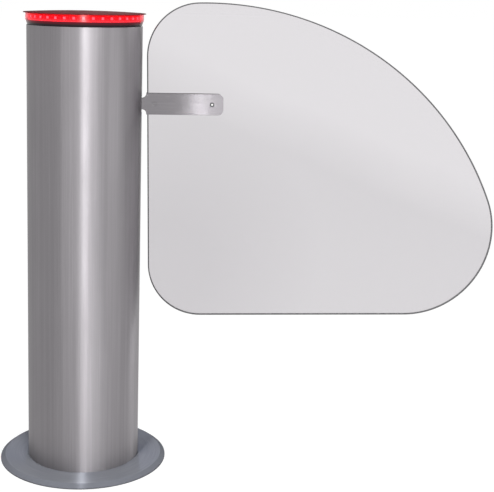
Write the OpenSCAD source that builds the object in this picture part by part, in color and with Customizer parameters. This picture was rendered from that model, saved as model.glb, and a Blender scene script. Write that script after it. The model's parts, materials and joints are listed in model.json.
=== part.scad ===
// Swing gate turnstile: a floor-standing round column with a lit ring on top, and a clear wing
// that a gearmotor inside the column swings through a quarter turn.
// The origin is on the floor at the column's axis. +X runs along the closed wing, +Z is up.

/* [Column] */
// Outside diameter of the column tube
tube_d = 250; // [220:1:320]
// Wall of the column tube
tube_wall = 2; // [1.5:0.5:4]
// Length of the column tube, from the floor flange to the lamp
tube_h = 972; // [920:1:1100]

/* [Floor flange] */
// How far the floor flange reaches beyond the tube
flange_reach = 63; // [40:1:90]
// Thickness of the floor flange
flange_t = 10; // [8:1:16]
// Width of the bevel round its rim
bevel_w = 10; // [4:1:20]
// Upright edge left under the bevel
bevel_edge = 2.5; // [1:0.5:6]
// How far the flange reaches in under the tube
flange_ledge = 5; // [3:1:8]
// Height of the register that centres the tube on the flange
register_h = 4; // [2:1:8]

/* [Anchor plate] */
// Thickness of the anchor plate
base_t = 12; // [10:1:20]
// Number of floor anchors
anchors = 4; // [4:2:8]
// Pitch circle of the floor anchors
anchor_pcd = 180; // [150:1:190]
// Diameter of an anchor hole
anchor_hole_d = 14; // [11:1:18]
// Diameter of the cable hole
cable_hole_d = 60; // [30:1:80]

/* [Drive frame] */
// Diameter of the pillars
pillar_d = 20; // [12:1:22]
// Distance from a pillar to the tube's inside face
pillar_inset = 15; // [12:1:20]
// Thickness of the motor plate and of the bearing plate
plate_t = 8; // [6:1:12]
// Gap between a plate's rim and the tube
plate_gap = 0.3; // [0.2:0.1:1]
// Clearance between the swinging pieces and the fixed ones
run_gap = 5.5; // [5:0.5:8]

/* [Gearmotor] */
// Diameter of the motor's body
motor_d = 92; // [70:1:110]
// Height of the motor's body
motor_h = 150; // [120:1:200]
// Number of cooling fins round the motor
motor_fins = 24; // [12:1:36]
// Height of a cooling fin
fin_h = 7; // [4:1:10]
// Thickness of a cooling fin
fin_t = 2.4; // [1.5:0.1:4]
// Height of the plain end bell between the fins and the gearbox
bell_h = 18; // [10:1:24]
// Height of the fan cowl under the fins
cowl_h = 30; // [20:1:40]
// Rounding of the cowl's lower edge
cowl_round = 8; // [3:1:12]
// Gap between the cowl and the fins
cowl_gap = 3; // [2:1:6]
// Diameter of the gearbox
gearbox_d = 100; // [86:1:104]
// Height of the gearbox
gearbox_h = 54; // [44:1:70]
// Diameter of the gearbox's flange under the motor plate
gearbox_flange_d = 132; // [128:1:140]
// Thickness of the gearbox's flange
gearbox_flange_t = 9; // [6:1:12]
// Diameter of the gearbox's spigot in the motor plate
gear_spigot_d = 62; // [50:1:80]
// Height of the gearbox's spigot
gear_spigot_h = 5; // [3:1:6]
// Bolts that hold the gearbox, and those that hold the bearing housing
drive_bolts = 4; // [3:1:6]
// Hole for such a bolt, diameter
drive_hole_d = 9; // [6:0.5:10]

/* [Arm] */
// How far the middle of the arm lies below the tube's top
arm_drop = 167.5; // [140:0.5:200]
// Height of the arm where it passes through the tube
neck_h = 24; // [20:1:32]
// Length of the neck from the tube's face to the strap's full height
neck_l = 9.5; // [8:0.5:14]
// Rounding between the neck and the strap
neck_fillet = 9.5; // [4:0.5:9.5]
// Height of the strap
strap_h = 46.5; // [44:0.5:60]
// Length of the strap beyond the neck
strap_l = 169; // [120:0.5:220]
// Rounding of the strap's free corners
strap_r = 12; // [4:1:18]
// Thickness of each arm plate
arm_plate_t = 4; // [3:0.5:6]
// Thickness of each gasket
gasket_t = 1; // [0.5:0.5:2]
// How far a gasket lies inside the strap's outline
gasket_inset = 2; // [1:0.5:5]
// Hole for a clamp screw through the straps and the sheet, diameter
screw_hole_d = 9.4; // [6:0.1:10]
// Distance of the far clamp screw from the strap's free end
screw_end = 25; // [16:0.5:40]
// Distance of the near clamp screw from the sheet's near edge
screw_edge = 15.5; // [12:0.5:30]
// Number of bolts that join the arm plates to the hub's tongue
tongue_bolts = 3; // [2:1:3]
// Hole for such a bolt, diameter
tongue_hole_d = 8.5; // [6:0.5:10]

/* [Hub and shaft] */
// Diameter of the shaft
shaft_d = 30; // [24:1:36]
// Radial play of the shaft in its bores
shaft_play = 0.05; // [0.02:0.01:0.1]
// Depth of the shaft's seat in the gearbox
shaft_seat = 30; // [20:1:36]
// Diameter of the hub
hub_d = 66; // [60:1:80]
// Height of the hub
hub_h = 38; // [34:1:46]
// Width of the slit that lets the hub clamp on the shaft
hub_slit = 3; // [2:0.5:5]
// Hole for a clamp bolt across the slit, diameter
hub_hole_d = 8.5; // [6:0.5:9]
// How far the shaft stands out over the bearing housing
shaft_stub = 4; // [1:1:10]
// Diameter of the bearing housing
bearing_d = 70; // [56:1:78]
// Height of the bearing housing
bearing_h = 26; // [18:1:34]
// Diameter of the bearing housing's flange
bearing_flange_d = 112; // [104:1:130]
// Thickness of the bearing housing's flange
bearing_flange_t = 8; // [6:1:10]
// Depth of the housing's spigot in the bearing plate
bearing_spigot_h = 6; // [3:1:6]

/* [Swing] */
// Angle that the wing opens through
swing = 90; // [60:1:110]
// Thickness of the curved shield that closes the slot from inside
shield_t = 1.5; // [1:0.5:2]
// How far the shield reaches past the slot's upper and lower edges
shield_lap = 7; // [4:1:8]
// How far the shield reaches past the slot's ends, in degrees
shield_over = 6; // [3:1:12]
// Gap between the shield and the arm that passes through it
shield_seat = 0.2; // [0.1:0.1:0.5]

/* [Clear sheet] */
// Thickness of the clear sheet
panel_t = 10; // [8:1:12]
// How far the sheet's level lower edge lies below the middle of the arm
panel_drop = 481; // [420:0.5:520]
// Height of the sheet
panel_h = 702.5; // [600:0.5:760]
// Gap between the tube and the sheet's near edge, at the arm's height
panel_gap = 11.5; // [10:0.5:20]
// Rake of the near edge, in degrees from upright
panel_rake = 1; // [0:0.1:2]
// Radius of the upper near corner
corner_top_r = 117; // [80:1:150]
// Radius of the lower near corner
corner_low_r = 121; // [80:1:150]
// Radius of the round tip
tip_r = 196; // [140:1:230]
// Radius of the long sweep over the top
sweep_r = 698; // [640:1:760]
// Distance of the sweep's centre from the near edge
sweep_in = 136; // [116:1:160]

/* [Lamp] */
// Height of the black seat over the tube
seat_h = 10.5; // [8:0.5:16]
// How far the seat's lower edge lies inside the tube's face
seat_in = 2; // [0:0.5:4]
// How far the seat's upper edge stands out beyond the tube
seat_out = 1.5; // [0:0.5:4]
// Depth of the seat's spigot in the tube
spigot_h = 12; // [8:1:20]
// Wall of the spigot
spigot_wall = 4; // [3:1:6]
// Height of the clear ring
lens_h = 15; // [12:1:24]
// How far the ring stands out beyond the tube
lens_out = 2.2; // [1:0.1:4]
// Wall of the clear ring
lens_wall = 4; // [3:0.5:6]
// Gap between the lights and the clear ring
lens_gap = 1.6; // [1:0.1:4]
// Thickness of the flexible strip
strip_t = 1.2; // [0.8:0.1:2]
// Height of the flexible strip
strip_h = 10; // [8:1:12]
// Number of lights
lights = 38; // [24:1:48]
// Width and height of a light
light_w = 5; // [3:0.5:6]
// Thickness of a light
light_t = 1.6; // [1:0.1:2]
// How far the cap stands out beyond the tube
cap_out = 7; // [4:0.5:12]
// Thickness of the cap at its rim
cap_rim = 1.6; // [1:0.1:4]
// Rise of the cap's dome
cap_rise = 3.8; // [2:0.1:8]

/* [Hidden] */
$fn = 128;

// a hair that a cut runs past a face
past = 1;
tube_r = tube_d / 2;
tube_in_r = tube_r - tube_wall;
tube_top = flange_t + tube_h;

flange_r = tube_r + flange_reach;
flange_in_r = tube_in_r - flange_ledge;
base_r = flange_in_r - plate_gap;
pillar_r = pillar_d / 2;
pillar_circle_r = tube_in_r - pillar_inset - pillar_r;
plate_r = tube_in_r - plate_gap;

// stations up the axis, from the arm downwards and upwards
arm_z = tube_top - arm_drop;
hub_low = arm_z - hub_h / 2;
shield_h = neck_h + 2 * (run_gap + shield_lap);
turning_room = max(shield_h, hub_h) / 2 + run_gap;
motor_plate_low = arm_z - turning_room - plate_t;
gearbox_low = motor_plate_low - gearbox_h;
motor_low = gearbox_low - motor_h;
bearing_plate_low = arm_z + turning_room;
bearing_low = bearing_plate_low + plate_t;
shaft_low = motor_plate_low - shaft_seat;
shaft_top = bearing_low + bearing_h + shaft_stub;
gear_bolt_r = (gearbox_d + gearbox_flange_d) / 4;
bearing_bolt_r = (bearing_d + bearing_flange_d) / 4;

// half thicknesses across the arm, from the middle of the sheet outwards
sheet_half = panel_t / 2;
gasket_half = sheet_half + gasket_t;
arm_half = gasket_half + arm_plate_t;

// the slot clears the arm by run_gap at both ends of its swing
slot_h = neck_h + 2 * run_gap;
slot_margin = asin((arm_half + run_gap) / tube_in_r);

// the shield runs inside the tube, and covers the slot wherever the arm stands
shield_r = tube_in_r - run_gap;
shield_half = swing + slot_margin + shield_over;

// four pillars stand under the motor plate, and over it those that the arm never reaches
pillar_angles = [45, 135, 225, 315];
pillar_room = asin((arm_half + run_gap + pillar_r) / pillar_circle_r);
upper_angles = [for (a = pillar_angles) if (a > swing + pillar_room && a < 360 - pillar_room) a];

// places along the arm, from the axis
tongue_end = tube_in_r;
strap_start = tube_r + neck_l;
strap_end = strap_start + strap_l;
panel_x = tube_r + panel_gap;
screw_places = [panel_x + screw_edge, strap_end - screw_end];
tongue_pitch = (tongue_end - hub_d / 2) / (tongue_bolts + 1);
tongue_places = [for (i = [1:tongue_bolts]) hub_d / 2 + i * tongue_pitch];
hub_bolt_x = -(hub_d + shaft_d) / 4;
hub_bolt_z = hub_h / 4;

seat_top = tube_top + seat_h;
seat_low_r = tube_r - seat_in;
seat_top_r = tube_r + seat_out;
lens_r = tube_r + lens_out;
lens_in_r = lens_r - lens_wall;
light_r = lens_in_r - lens_gap;
strip_r = light_r - light_t;
drum_r = strip_r - strip_t;
lens_top = seat_top + lens_h;
lamp_mid = seat_top + lens_h / 2;
cap_r = tube_r + cap_out;

// the sheet's outline is four arcs, each tangent to the next, worked out from their radii:
// near corner, long sweep, round tip, lower near corner
panel_z = arm_z - panel_drop;
sweep_x = panel_x + sweep_in;
sweep_z = panel_z + panel_h - sweep_r;
edge_n = [cos(panel_rake), sin(panel_rake)];
edge_up = [-sin(panel_rake), cos(panel_rake)];
edge_d = edge_n * [panel_x, arm_z];
sweep_c = [sweep_x, sweep_z];
top_foot = edge_n * (edge_d + corner_top_r) - sweep_c;
top_run = top_foot * edge_up;
top_c = sweep_c + top_foot
  + edge_up * (sqrt(top_run * top_run - top_foot * top_foot + pow(sweep_r - corner_top_r, 2)) - top_run);
tip_z = panel_z + tip_r;
tip_c = [sweep_x + sqrt(pow(sweep_r - tip_r, 2) - pow(tip_z - sweep_z, 2)), tip_z];
low_z = panel_z + corner_low_r;
low_c = [(edge_d + corner_low_r - edge_n[1] * low_z) / edge_n[0], low_z];
sweep_start = atan2(top_c[1] - sweep_z, top_c[0] - sweep_x);
sweep_end = atan2(tip_c[1] - sweep_z, tip_c[0] - sweep_x);

// points along an arc about a centre, from one angle to another
function arc(centre, r, from, to, steps) =
  [for (i = [0:steps]) let (a = from + (to - from) * i / steps) centre + r * [cos(a), sin(a)]];

panel_outline = concat(
  arc(top_c, corner_top_r, 180 + panel_rake, sweep_start, 20),
  arc(sweep_c, sweep_r, sweep_start, sweep_end, 32),
  arc(tip_c, tip_r, sweep_end, -90, 32),
  arc(low_c, corner_low_r, 270, 180 + panel_rake, 20)
);

module ring(outer, inner, low, height) {
  translate([0, 0, low])
    difference() {
      cylinder(r = outer, h = height);
      translate([0, 0, -past]) cylinder(r = inner, h = height + 2 * past);
    }
}

// an upright sheet in the XZ plane, its near face at y
module upright(y, thickness) {
  translate([0, y + thickness, 0]) rotate([90, 0, 0]) linear_extrude(thickness) children();
}

// a turned ring: flat on top, a register that the tube drops over, and a bevelled rim
module floor_flange() {
  color("slategray")
    rotate_extrude()
      polygon([
        [flange_in_r, 0], [flange_r, 0], [flange_r, bevel_edge], [flange_r - bevel_w, flange_t],
        [plate_r, flange_t], [plate_r, flange_t + register_h], [flange_in_r, flange_t + register_h]
      ]);
}

// holes through a level plate, spaced evenly round the axis
module holes(count, circle_r, d, low, height) {
  for (i = [0:count - 1])
    rotate([0, 0, i * 360 / count])
      translate([circle_r, 0, low - past])
        cylinder(d = d, h = height + 2 * past);
}

module base_plate() {
  color("dimgray")
    difference() {
      ring(base_r, cable_hole_d / 2, 0, base_t);
      holes(anchors, anchor_pcd / 2, anchor_hole_d, 0, base_t);
    }
}

// the wedge that the slot is cut with, over the arm's swing and its clearance
module slot_wedge() {
  from = -slot_margin;
  to = swing + slot_margin;
  reach = 2 * tube_d;
  translate([0, 0, arm_z - slot_h / 2])
    linear_extrude(slot_h)
      polygon(concat([[0, 0]], arc([0, 0], reach, from, to, 4)));
}

module column_tube() {
  color("silver")
    difference() {
      ring(tube_r, tube_in_r, flange_t, tube_h);
      slot_wedge();
    }
}

module pillars(angles, low, top) {
  for (a = angles)
    rotate([0, 0, a]) translate([pillar_circle_r, 0, low]) cylinder(r = pillar_r, h = top - low);
}

module lower_pillars() {
  color("gray") pillars(pillar_angles, base_t, motor_plate_low);
}

module motor_plate() {
  color("dimgray")
    difference() {
      ring(plate_r, gear_spigot_d / 2 + plate_gap, motor_plate_low, plate_t);
      holes(drive_bolts, gear_bolt_r, drive_hole_d, motor_plate_low, plate_t);
    }
}

// the fan cowl: a shallow round cup with a rounded lower edge
module fan_cowl() {
  cowl_r = motor_d / 2 + fin_h;
  translate([0, 0, motor_low])
    rotate_extrude()
      polygon(concat(
        [[0, 0]],
        arc([cowl_r - cowl_round, cowl_round], cowl_round, -90, 0, 6),
        [[cowl_r, cowl_h], [0, cowl_h]]
      ));
}

// the motor hangs under the gearbox: a plain end bell, cooling fins, and the fan cowl below
module motor() {
  fin_low = motor_low + cowl_h + cowl_gap;
  fin_top = gearbox_low - bell_h;
  color("darkslategray")
    union() {
      translate([0, 0, motor_low + cowl_round]) cylinder(d = motor_d, h = motor_h - cowl_round);
      fan_cowl();
      for (i = [0:motor_fins - 1])
        rotate([0, 0, i * 360 / motor_fins])
          translate([motor_d / 4, -fin_t / 2, fin_low])
            cube([motor_d / 4 + fin_h, fin_t, fin_top - fin_low]);
    }
}

// a round planetary gearbox, bolted up under the motor plate with its spigot in the plate
module gearbox() {
  color("gray")
    difference() {
      union() {
        translate([0, 0, gearbox_low]) cylinder(d = gearbox_d, h = gearbox_h);
        translate([0, 0, motor_plate_low - gearbox_flange_t])
          cylinder(d = gearbox_flange_d, h = gearbox_flange_t);
        translate([0, 0, motor_plate_low]) cylinder(d = gear_spigot_d, h = gear_spigot_h);
      }
      translate([0, 0, shaft_low])
        cylinder(r = shaft_d / 2 + shaft_play, h = shaft_seat + gear_spigot_h + past);
      holes(drive_bolts, gear_bolt_r, drive_hole_d, motor_plate_low - gearbox_flange_t, gearbox_flange_t);
    }
}

module upper_pillars() {
  color("gray") pillars(upper_angles, motor_plate_low + plate_t, bearing_plate_low);
}

module bearing_plate() {
  color("dimgray")
    difference() {
      ring(plate_r, bearing_d / 2 + plate_gap, bearing_plate_low, plate_t);
      holes(drive_bolts, bearing_bolt_r, drive_hole_d, bearing_plate_low, plate_t);
    }
}

// a flanged housing that drops into the plate and steadies the top of the shaft
module bearing_housing() {
  color("gray")
    difference() {
      union() {
        translate([0, 0, bearing_low - bearing_spigot_h])
          cylinder(d = bearing_d, h = bearing_h + bearing_spigot_h);
        translate([0, 0, bearing_low]) cylinder(d = bearing_flange_d, h = bearing_flange_t);
      }
      translate([0, 0, bearing_low - bearing_spigot_h - past])
        cylinder(r = shaft_d / 2 + shaft_play, h = bearing_h + bearing_spigot_h + 2 * past);
      holes(drive_bolts, bearing_bolt_r, drive_hole_d, bearing_low, bearing_flange_t);
    }
}

module lamp_seat() {
  color("black")
    union() {
      translate([0, 0, tube_top]) cylinder(r1 = seat_low_r, r2 = seat_top_r, h = seat_h);
      ring(tube_in_r - plate_gap, tube_in_r - plate_gap - spigot_wall, tube_top - spigot_h, spigot_h);
    }
}

module led_drum() {
  color("white") translate([0, 0, seat_top]) cylinder(r = drum_r, h = lens_h);
}

module led_strip() {
  color("white") ring(strip_r, drum_r, lamp_mid - strip_h / 2, strip_h);
}

// each light stands on the strip with its flat back just inside the strip's round face
module led_chips() {
  back = strip_r * cos(asin(light_w / 2 / strip_r));
  color("lightpink")
    for (i = [0:lights - 1])
      rotate([0, 0, (i + 0.5) * 360 / lights])
        difference() {
          translate([back, -light_w / 2, lamp_mid - light_w / 2])
            cube([light_r - back, light_w, light_w]);
          translate([0, 0, lamp_mid - strip_h]) cylinder(r = strip_r, h = 2 * strip_h);
        }
}

module lens_ring() {
  color("red", 0.6) ring(lens_r, lens_in_r, seat_top, lens_h);
}

module top_cap() {
  dome_r = (cap_r * cap_r + cap_rise * cap_rise) / (2 * cap_rise);
  half_angle = asin(cap_r / dome_r);
  color("darkred")
    rotate_extrude()
      polygon(concat(
        [[0, lens_top], [cap_r, lens_top]],
        arc([0, lens_top + cap_rim + cap_rise - dome_r], dome_r, 90 - half_angle, 90, 8)
      ));
}

module drive_shaft() {
  color("lightgray") translate([0, 0, shaft_low]) cylinder(d = shaft_d, h = shaft_top - shaft_low);
}

// holes across the arm, level with its middle, at distances from the axis
module cross_holes(places, d, drop = 0) {
  for (x = places)
    translate([x, 0, arm_z + drop]) rotate([90, 0, 0]) cylinder(d = d, h = hub_d + 2 * past, center = true);
}

// the hub clamps on the shaft with a slit and two cross bolts, and carries the tongue that both
// arm plates are bolted to
module hub() {
  color("gray")
    difference() {
      union() {
        translate([0, 0, hub_low]) cylinder(d = hub_d, h = hub_h);
        translate([0, -gasket_half, arm_z - neck_h / 2]) cube([tongue_end, 2 * gasket_half, neck_h]);
      }
      translate([0, 0, hub_low - past]) cylinder(d = shaft_d, h = hub_h + 2 * past);
      translate([-hub_d, -hub_slit / 2, hub_low - past]) cube([hub_d, hub_slit, hub_h + 2 * past]);
      for (drop = [-hub_bolt_z, hub_bolt_z]) cross_holes([hub_bolt_x], hub_hole_d, drop);
      cross_holes(tongue_places, tongue_hole_d);
    }
}

// the shield: part of a thin upright cylinder, notched where the arm goes out through it
module slot_shield() {
  gap = arm_half + shield_seat;
  color("black")
    difference() {
      ring(shield_r, shield_r - shield_t, arm_z - shield_h / 2, shield_h);
      translate([0, 0, arm_z - shield_h / 2 - past])
        linear_extrude(shield_h + 2 * past)
          polygon(concat([[0, 0]], arc([0, 0], 2 * tube_d, shield_half, 360 - shield_half, 6)));
      translate([0, -gap, arm_z - neck_h / 2 - shield_seat])
        cube([tube_d, 2 * gap, neck_h + 2 * shield_seat]);
    }
}

// the strap's outline: a neck that runs out from the hub, filleted out to the full height beside
// the sheet, with round free corners; inset draws the same outline smaller
module strap_outline(inset) {
  neck = neck_h / 2;
  half = strap_h / 2 - inset;
  end = strap_end - inset;
  round_r = strap_r - inset;
  lower = concat(
    [[hub_d / 2, -neck]],
    arc([strap_start - neck_fillet, -neck - neck_fillet], neck_fillet, 90, 0, 8),
    [[strap_start, -half]],
    arc([end - round_r, -half + round_r], round_r, -90, 0, 8)
  );
  upper = [for (i = [len(lower) - 1:-1:0]) [lower[i][0], -lower[i][1]]];
  translate([0, arm_z]) polygon(concat(lower, upper));
}

module arm_plate(y) {
  color("silver")
    difference() {
      upright(y, arm_plate_t) strap_outline(0);
      cross_holes(screw_places, screw_hole_d);
      cross_holes(tongue_places, tongue_hole_d);
    }
}

module arm_plate_front() { arm_plate(-arm_half); }

module arm_plate_back() { arm_plate(gasket_half); }

module gasket(y) {
  color("black")
    difference() {
      upright(y, gasket_t)
        intersection() {
          strap_outline(gasket_inset);
          polygon(panel_outline);
        }
      cross_holes(screw_places, screw_hole_d);
    }
}

module gasket_front() { gasket(-gasket_half); }

module gasket_back() { gasket(sheet_half); }

module panel() {
  color("lightblue", 0.4)
    difference() {
      upright(-sheet_half, panel_t) polygon(panel_outline);
      cross_holes(screw_places, screw_hole_d);
    }
}

floor_flange();
base_plate();
column_tube();
lower_pillars();
motor_plate();
motor();
gearbox();
upper_pillars();
bearing_plate();
bearing_housing();
lamp_seat();
led_drum();
led_strip();
led_chips();
lens_ring();
top_cap();
drive_shaft();
hub();
slot_shield();
arm_plate_front();
arm_plate_back();
gasket_front();
gasket_back();
panel();
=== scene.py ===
import json
import math
import bmesh
import bpy
import numpy as np
from mathutils import Matrix, Vector
from mathutils.geometry import tessellate_polygon


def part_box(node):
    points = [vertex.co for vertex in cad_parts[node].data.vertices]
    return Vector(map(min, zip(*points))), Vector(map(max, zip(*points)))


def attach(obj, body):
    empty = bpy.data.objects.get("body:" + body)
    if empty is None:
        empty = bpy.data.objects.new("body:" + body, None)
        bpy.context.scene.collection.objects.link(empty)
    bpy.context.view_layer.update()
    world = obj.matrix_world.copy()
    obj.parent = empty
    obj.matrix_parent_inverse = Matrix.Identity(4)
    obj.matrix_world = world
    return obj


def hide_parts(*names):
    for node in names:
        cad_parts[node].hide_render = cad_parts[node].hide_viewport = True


# A swing gate turnstile in metres: the origin is on the floor at the column's axis, +X runs along
# the closed wing and +Z is up. The sections follow the order in which it is put together.
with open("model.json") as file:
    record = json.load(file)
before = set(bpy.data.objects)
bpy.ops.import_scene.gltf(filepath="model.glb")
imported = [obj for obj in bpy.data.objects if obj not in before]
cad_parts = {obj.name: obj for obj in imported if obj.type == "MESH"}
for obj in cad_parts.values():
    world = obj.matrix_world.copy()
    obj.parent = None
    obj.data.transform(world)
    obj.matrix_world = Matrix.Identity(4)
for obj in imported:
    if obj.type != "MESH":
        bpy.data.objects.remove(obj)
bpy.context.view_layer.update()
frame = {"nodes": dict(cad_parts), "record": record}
nodes = frame["nodes"]

# ---- Floor flange --------------------------------------------------------------------------
# A ring of 10 mm steel plate turned all over, with a bevelled rim and a low register that the tube
# drops over. Its sharp edges are broken, and the tool has left fine lines round it.


def piece(name, points, faces, finishes, finish_of_face=None):
    """Puts arrays of points and faces into an object of its own. Doubles are merged, which closes
    seams and poles, faces are turned outwards, and round edges are shaded from their wide faces."""
    one_point, sharp_angle = 1e-7, math.radians(40)
    mesh = bpy.data.meshes.new(name)
    mesh.from_pydata(points.reshape(-1, 3), [], faces)
    for finish in finishes:
        mesh.materials.append(finish)
    if finish_of_face is not None:
        mesh.polygons.foreach_set("material_index", finish_of_face)
    form = bmesh.new()
    form.from_mesh(mesh)
    bmesh.ops.remove_doubles(form, verts=form.verts, dist=one_point)
    bmesh.ops.recalc_face_normals(form, faces=form.faces)
    form.to_mesh(mesh)
    form.free()
    mesh.shade_smooth()
    mesh.set_sharp_from_angle(angle=sharp_angle)
    made = bpy.data.objects.new(name, mesh)
    bpy.context.scene.collection.objects.link(made)
    shading = made.modifiers.new("even_shading", "WEIGHTED_NORMAL")
    shading.keep_sharp = True
    return made


def eased(corners, rounds):
    """Rounds the corners of a closed profile. Between the points a and b, a round's length before
    and after corner c, the line is (1 - t)^2 a + 2 t (1 - t) c + t^2 b, in six points."""
    corner = np.array(corners, float)[:, None]
    reach = np.array(rounds, float)[:, None, None]
    back = np.roll(corner, 1, axis=0) - corner
    ahead = np.roll(corner, -1, axis=0) - corner
    a = corner + reach * back / np.linalg.norm(back, axis=-1, keepdims=True)
    b = corner + reach * ahead / np.linalg.norm(ahead, axis=-1, keepdims=True)
    t = np.linspace(0, 1, 6)[None, :, None]
    return ((1 - t) ** 2 * a + 2 * t * (1 - t) * corner + t * t * b).reshape(-1, 2)


def lattice(rows, columns, ring=True):
    """Four-sided faces over rows x columns points. Each row closes on itself, and the last row
    meets the first where ring is true."""
    bands = rows if ring else rows - 1
    row, column = np.meshgrid(np.arange(bands), np.arange(columns), indexing="ij")
    next_row, next_column = (row + 1) % rows, (column + 1) % columns
    corners = [row * columns + column, row * columns + next_column,
               next_row * columns + next_column, next_row * columns + column]
    return np.stack(corners, axis=-1).reshape(-1, 4)


def swept(radius, height, angle):
    """Rows of points about the axis: point (u, v) is (r(u, v) cos v, r(u, v) sin v, z(u))."""
    return np.stack([radius * np.cos(angle), radius * np.sin(angle), height + 0 * angle], axis=-1)


def turned(name, profile, finishes, ring=True):
    """Turns a profile of (r, z) about the axis, in 256 steps."""
    turns = 256
    angle = np.arange(turns) * 2 * np.pi / turns
    points = swept(profile[:, :1], profile[:, 1:], angle)
    return piece(name, points, lattice(len(profile), turns, ring), finishes)


def bare_finish(name, colour, roughness, **sockets):
    """A material with its one shader, whose sockets take plain values by their own names. Most
    finishes then vary the colour and the roughness over the piece."""
    finish = bpy.data.materials.new(name)
    finish.use_nodes = True
    shader = finish.node_tree.nodes["Principled BSDF"]
    shader.inputs["Base Color"].default_value = (*colour, 1)
    shader.inputs["Roughness"].default_value = roughness
    for socket, value in sockets.items():
        shader.inputs[socket.replace("_", " ")].default_value = value
    return finish


def add(finish, kind, inputs, **settings):
    """Adds a node to a finish, or to the world. Its inputs are plain values, or outputs of nodes
    added before."""
    node = finish.node_tree.nodes.new("ShaderNode" + kind)
    for name, value in settings.items():
        setattr(node, name, value)
    for name, value in inputs.items():
        if isinstance(value, bpy.types.NodeSocket):
            finish.node_tree.links.new(value, node.inputs[name])
        else:
            node.inputs[name].default_value = value
    return node


def arrowed(finish, operation, *arrows):
    """One step of arithmetic on arrows: its Vector is an arrow, and its Value an amount."""
    return add(finish, "VectorMath", dict(enumerate(arrows)), operation=operation).outputs


def on_piece(finish):
    """The place of a point on the piece, which moves with it."""
    return add(finish, "TexCoord", {}).outputs["Object"]


def from_axis(finish, place):
    """The level arrow to a place from the column's axis."""
    return arrowed(finish, "MULTIPLY", place, (1, 1, 0))["Vector"]


def stretched(finish, place, density, detail=3, roughness=0.5):
    """Noise drawn out along the axes where density, its spots per metre, is low."""
    spread = add(finish, "Mapping", {"Vector": place, "Scale": density})
    noise = add(finish, "TexNoise", {"Vector": spread.outputs["Vector"], "Scale": 1,
                                     "Detail": detail, "Roughness": roughness})
    return noise.outputs["Fac"]


def between(finish, amount, low, high, out_low, out_high):
    """Carries an amount from one span of numbers to another, and no further."""
    span = add(finish, "MapRange", {"Value": amount, "From Min": low, "From Max": high,
                                    "To Min": out_low, "To Max": out_high})
    return span.outputs["Result"]


def blended(finish, amount, first, second):
    """The first colour where amount is 0, the second where it is 1."""
    mix = finish.node_tree.nodes.new("ShaderNodeMix")
    mix.data_type = "RGBA"
    finish.node_tree.links.new(amount, mix.inputs["Factor"])
    colours = [s for s in mix.inputs if s.type == "RGBA"]
    for socket, colour in zip(colours, (first, second)):
        if isinstance(colour, bpy.types.NodeSocket):
            finish.node_tree.links.new(colour, socket)
        else:
            socket.default_value = (*colour, 1)
    return [s for s in mix.outputs if s.type == "RGBA"][0]


def toned(finish, amount, low, high, first, second, most=1):
    """The first colour where the amount is under low. Over high, the second covers most of it."""
    return blended(finish, between(finish, amount, low, high, 0, most), first, second)


def wire(finish, **sockets):
    """Leads outputs of nodes to the shader's sockets of those names."""
    shader = finish.node_tree.nodes["Principled BSDF"]
    for name, output in sockets.items():
        finish.node_tree.links.new(output, shader.inputs[name.replace("_", " ")])


def raised(finish, height, depth, strength):
    """A relief of that depth in metres."""
    bump = add(finish, "Bump", {"Height": height, "Distance": depth, "Strength": strength})
    return bump.outputs["Normal"]


def flange_steel():
    """Turned steel: lines that follow circles about the axis, told apart by their radius. The
    gloss is drawn out from the axis, and the bevel is duller, and painted darker as shade."""
    finish = bare_finish("flange_steel", (0.2, 0.21, 0.24), 0.4, Metallic=0.3, Anisotropic=1.0,
                         Specular_IOR_Level=0.0, Specular_Tint=(0, 0, 0, 1))
    dull_line, bright_line = (0.150, 0.155, 0.175), (0.195, 0.200, 0.219)
    # The bevel's darker colour is painted shade.
    cloud, bevel_painted_shade = (0.146, 0.155, 0.184), (0.122, 0.127, 0.145)
    bevel_r, soft_line = rim_r - bevel, 0.0006
    flat_metal, bevel_metal = 0.42, 0.04
    place = on_piece(finish)
    outwards = from_axis(finish, place)
    radius = arrowed(finish, "LENGTH", outwards)["Value"]
    way = arrowed(finish, "NORMALIZE", outwards)["Vector"]
    split = add(finish, "SeparateXYZ", {0: way}).outputs
    ring_place = add(finish, "CombineXYZ", {"X": radius, "Y": split["X"], "Z": split["Y"]})
    lines = stretched(finish, ring_place.outputs[0], (900, 2.2, 2.2))
    clouds = stretched(finish, place, (14, 14, 14), detail=4)
    tone = toned(finish, lines, 0.3, 0.7, dull_line, bright_line)
    tone = toned(finish, clouds, 0.35, 0.7, tone, cloud, most=0.35)
    bevelled = between(finish, radius, bevel_r - soft_line, bevel_r + soft_line, 0, 1)
    wire(finish, Base_Color=blended(finish, bevelled, tone, bevel_painted_shade), Tangent=way,
         Metallic=between(finish, bevelled, 0, 1, flat_metal, bevel_metal),
         Roughness=between(finish, lines, 0.3, 0.7, 0.30, 0.34),
         Normal=raised(finish, lines, 0.00006, 0.5))
    return finish


flange_low, flange_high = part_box("floor_flange")
hair = 0.00006  # keeps the turned rim just inside the solid
rim_r = -flange_low.x - hair
register_r = 0.1227
flange_bore_r = 0.118
flange_face_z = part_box("column_tube")[0].z
bevel = 0.010
upright_edge = 0.0025
flange_corners = [(flange_bore_r, 0), (rim_r, 0), (rim_r, upright_edge),
                  (rim_r - bevel, flange_face_z), (register_r, flange_face_z),
                  (register_r, flange_high.z), (flange_bore_r, flange_high.z)]
flange_rounds = [0.0003, 0.0004, 0.0007, 0.0016, 0.0004, 0.0006, 0.0006]
floor_flange = turned("floor_flange_turned", eased(flange_corners, flange_rounds), [flange_steel()])
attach(floor_flange, "column")
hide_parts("floor_flange")

# ---- Anchor plate, with its anchors --------------------------------------------------------
# A disc of 12 mm plate inside the foot of the tube, zinc plated. Four anchors hold it to the
# floor, each with a washer, a nut and the end of its stud.


def dress(name, finish):
    """Gives a solid of the frame its finish."""
    nodes[name].data.materials.clear()
    nodes[name].data.materials.append(finish)


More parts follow.
